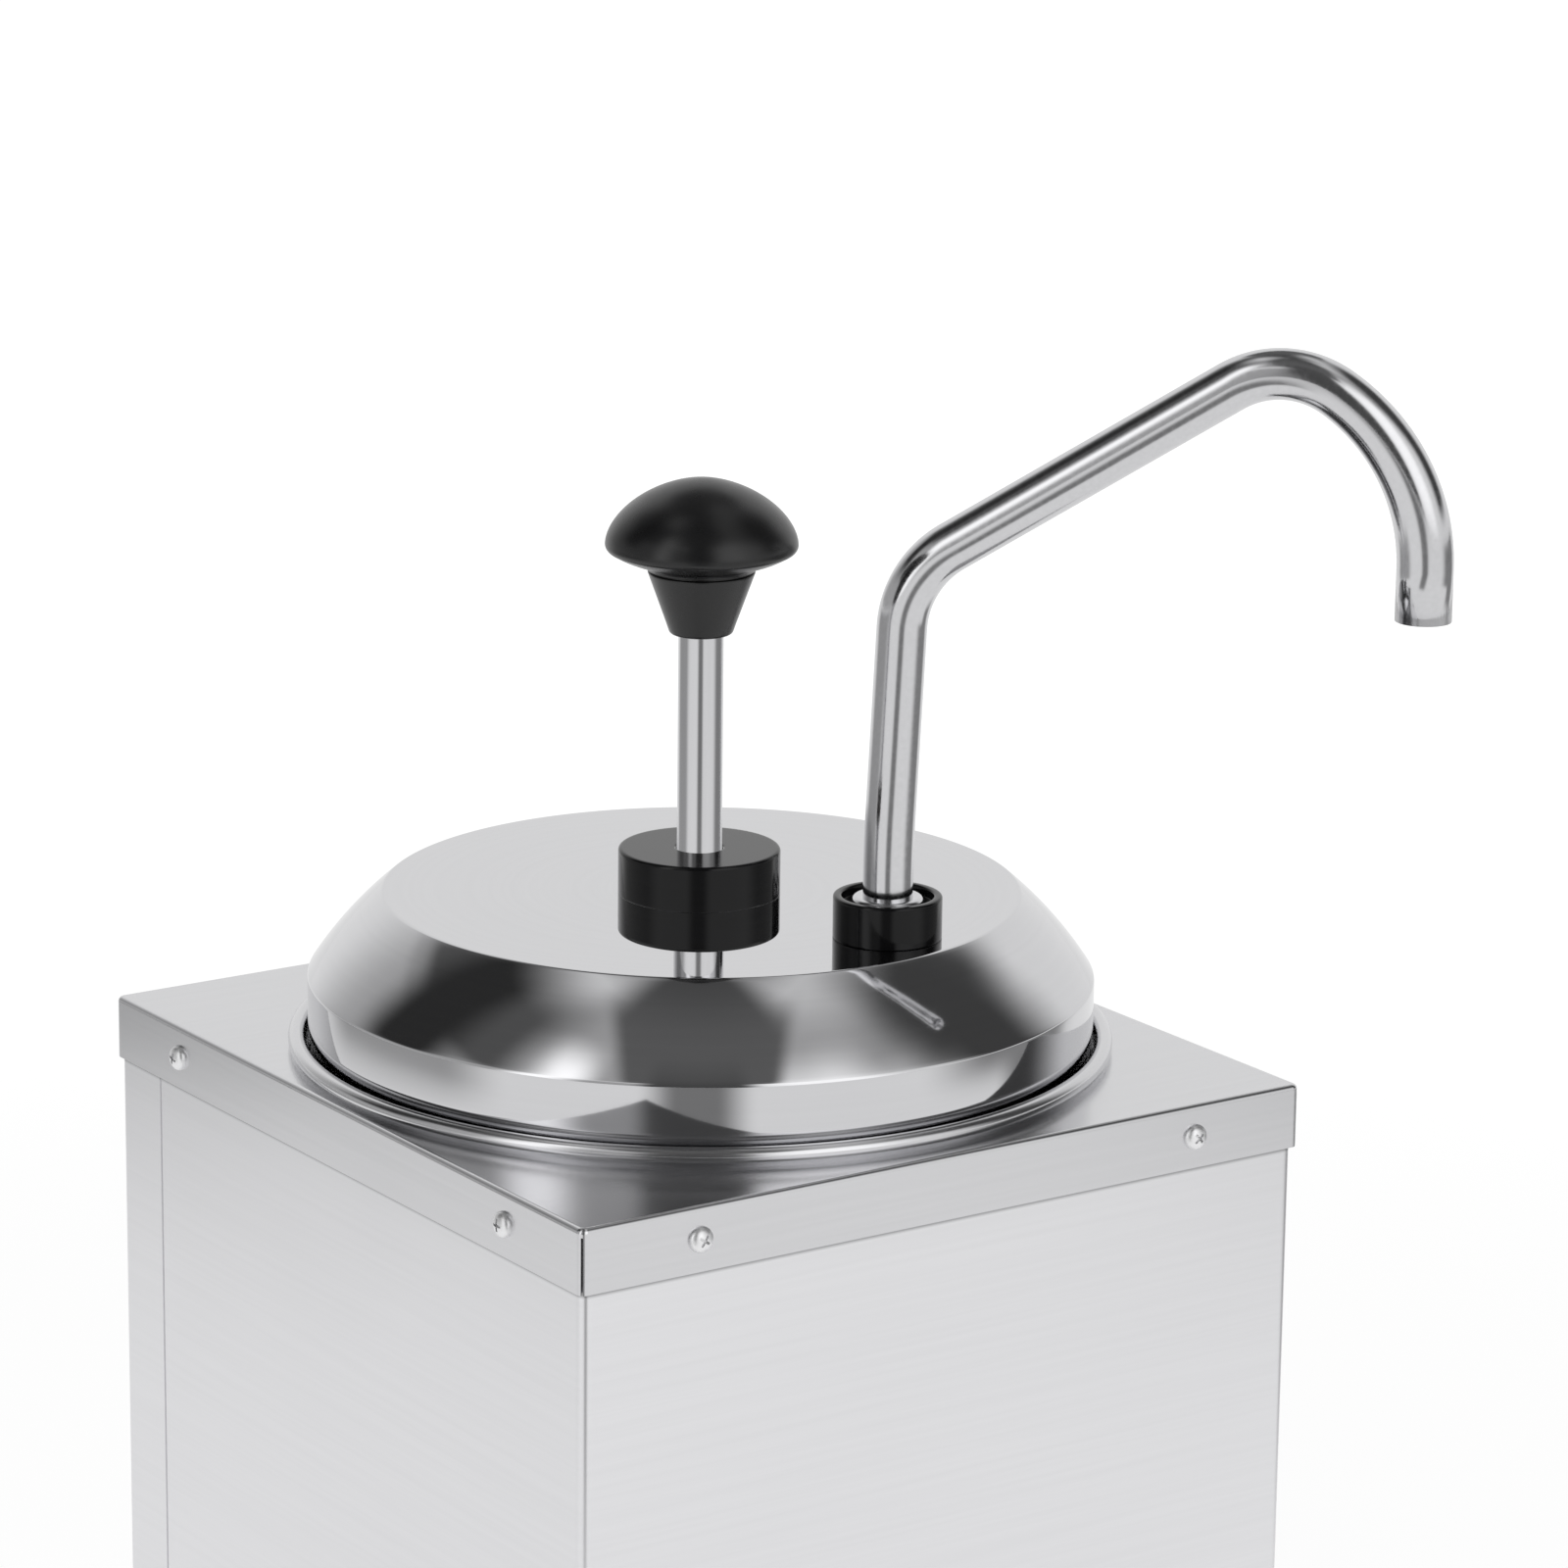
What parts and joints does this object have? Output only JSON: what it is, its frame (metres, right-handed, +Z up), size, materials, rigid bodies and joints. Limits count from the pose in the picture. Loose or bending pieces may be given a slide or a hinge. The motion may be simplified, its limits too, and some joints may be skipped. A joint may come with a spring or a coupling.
{
  "type": "hot topping warmer with pump",
  "caption": "Countertop electric topping warmer: square steel case, round lift-out pot in a heated well, domed lid with a sprung plunger pump and a curved discharge spout.",
  "frame": {"origin": "on the surface the feet rest on, under the middle of the square case", "axes": "+Z up along the pump's stroke; -Y towards the user, where the controls are; +X to the user's right"},
  "size_m": [0.2033, 0.2567, 0.4167],
  "materials": {
    "satin_stainless": "satin rolled sheet",
    "formed_stainless": "pressed and spun sheet",
    "polished_stainless": "polished stainless steel",
    "plated_steel": "plated steel fasteners",
    "black_plastic": "moulded, semi-gloss",
    "black_nylon": "moulded, matte",
    "phenolic": "moulded phenolic",
    "black_rubber": "moulded, matte",
    "seal_rubber": "moulded silicone",
    "white_acetal": "turned",
    "aluminium": "machined plate",
    "heater_sheath": "heat-tinted sheath",
    "glass_wool": "soft wrap",
    "copper": "drawn copper",
    "brass": "turned brass",
    "ground_steel": "ground bar",
    "amber_lens": "clear tinted",
    "wire_insulation": "silicone insulation"
  },
  "bodies": {
    "housing": {"base_pan": "formed_stainless", "base_screws": "plated_steel", "body_wrap": "satin_stainless", "cap_screws": "plated_steel", "earth_stud": "brass", "foot_front_left": "black_rubber", "foot_front_right": "black_rubber", "foot_nuts": "plated_steel", "foot_rear_left": "black_rubber", "foot_rear_right": "black_rubber", "foot_screws": "plated_steel", "heat_spreader": "aluminium", "heater_clamp": "formed_stainless", "heater_nuts": "plated_steel", "heater_studs": "plated_steel", "heating_element": "heater_sheath", "hi_limit": "phenolic", "inlet_pins": "brass", "inlet_screws": "plated_steel", "insulation": "glass_wool", "lamp_body": "black_nylon", "lamp_lens": "amber_lens", "power_inlet": "black_nylon", "rear_panel": "satin_stainless", "switch_housing": "black_nylon", "terminal_block": "phenolic", "thermostat": "phenolic", "thermostat_bulb": "copper", "thermostat_screws": "plated_steel", "top_cap": "satin_stainless", "well": "formed_stainless", "wiring": "wire_insulation"},
    "pot_body": {"pot": "formed_stainless"},
    "lid_body": {"lid": "polished_stainless", "neck_tube": "polished_stainless", "collar_ring": "black_plastic", "collar_cap": "black_plastic", "guide_bush": "white_acetal", "pump_head": "polished_stainless", "rod_seal": "seal_rubber", "pump_cylinder": "polished_stainless", "valve_block": "polished_stainless", "suction_seat": "polished_stainless", "channel_plug": "polished_stainless", "discharge_tube": "polished_stainless", "tube_bushing": "black_plastic", "tube_ferrule": "polished_stainless", "bushing_nut": "polished_stainless"},
    "plunger": {"knob": "black_plastic", "plunger_rod": "polished_stainless", "piston": "white_acetal", "piston_seal": "seal_rubber", "piston_nut": "polished_stainless", "return_spring": "polished_stainless"},
    "dial": {"control_dial": "black_plastic", "dial_shaft": "ground_steel"},
    "rocker": {"switch_rocker": "black_plastic"},
    "suction_valve": {"suction_ball": "polished_stainless"},
    "discharge_valve": {"discharge_ball": "polished_stainless"}
  },
  "joints": [
    {"name": "pot_lift", "type": "slide", "parent": "housing", "child": "pot_body", "axis": [0, 0, 1], "range_m": [0, 0.22]},
    {"name": "lid_lift", "type": "slide", "parent": "pot_body", "child": "lid_body", "axis": [0, 0, 1], "range_m": [0, 0.22]},
    {"name": "plunger_stroke", "type": "slide", "parent": "lid_body", "child": "plunger", "axis": [0, 0, -1], "range_m": [0, 0.045], "stiffness_N_per_m": 300, "springref_m": -0.03, "deforming": ["return_spring"]},
    {"name": "dial_turn", "type": "hinge", "parent": "housing", "child": "dial", "pos_m": [0.07, -0.1023, 0.062], "axis": [0, 1, 0], "range_deg": [0, 270]},
    {"name": "rocker_tilt", "type": "hinge", "parent": "housing", "child": "rocker", "pos_m": [-0.07, -0.1003, 0.062], "axis": [-1, 0, 0], "range_deg": [0, 22]},
    {"name": "suction_ball_lift", "type": "slide", "parent": "lid_body", "child": "suction_valve", "axis": [0, 0, 1], "range_m": [0, 0.0025]},
    {"name": "discharge_ball_lift", "type": "slide", "parent": "lid_body", "child": "discharge_valve", "axis": [0, 0, 1], "range_m": [0, 0.0025]}
  ]
}
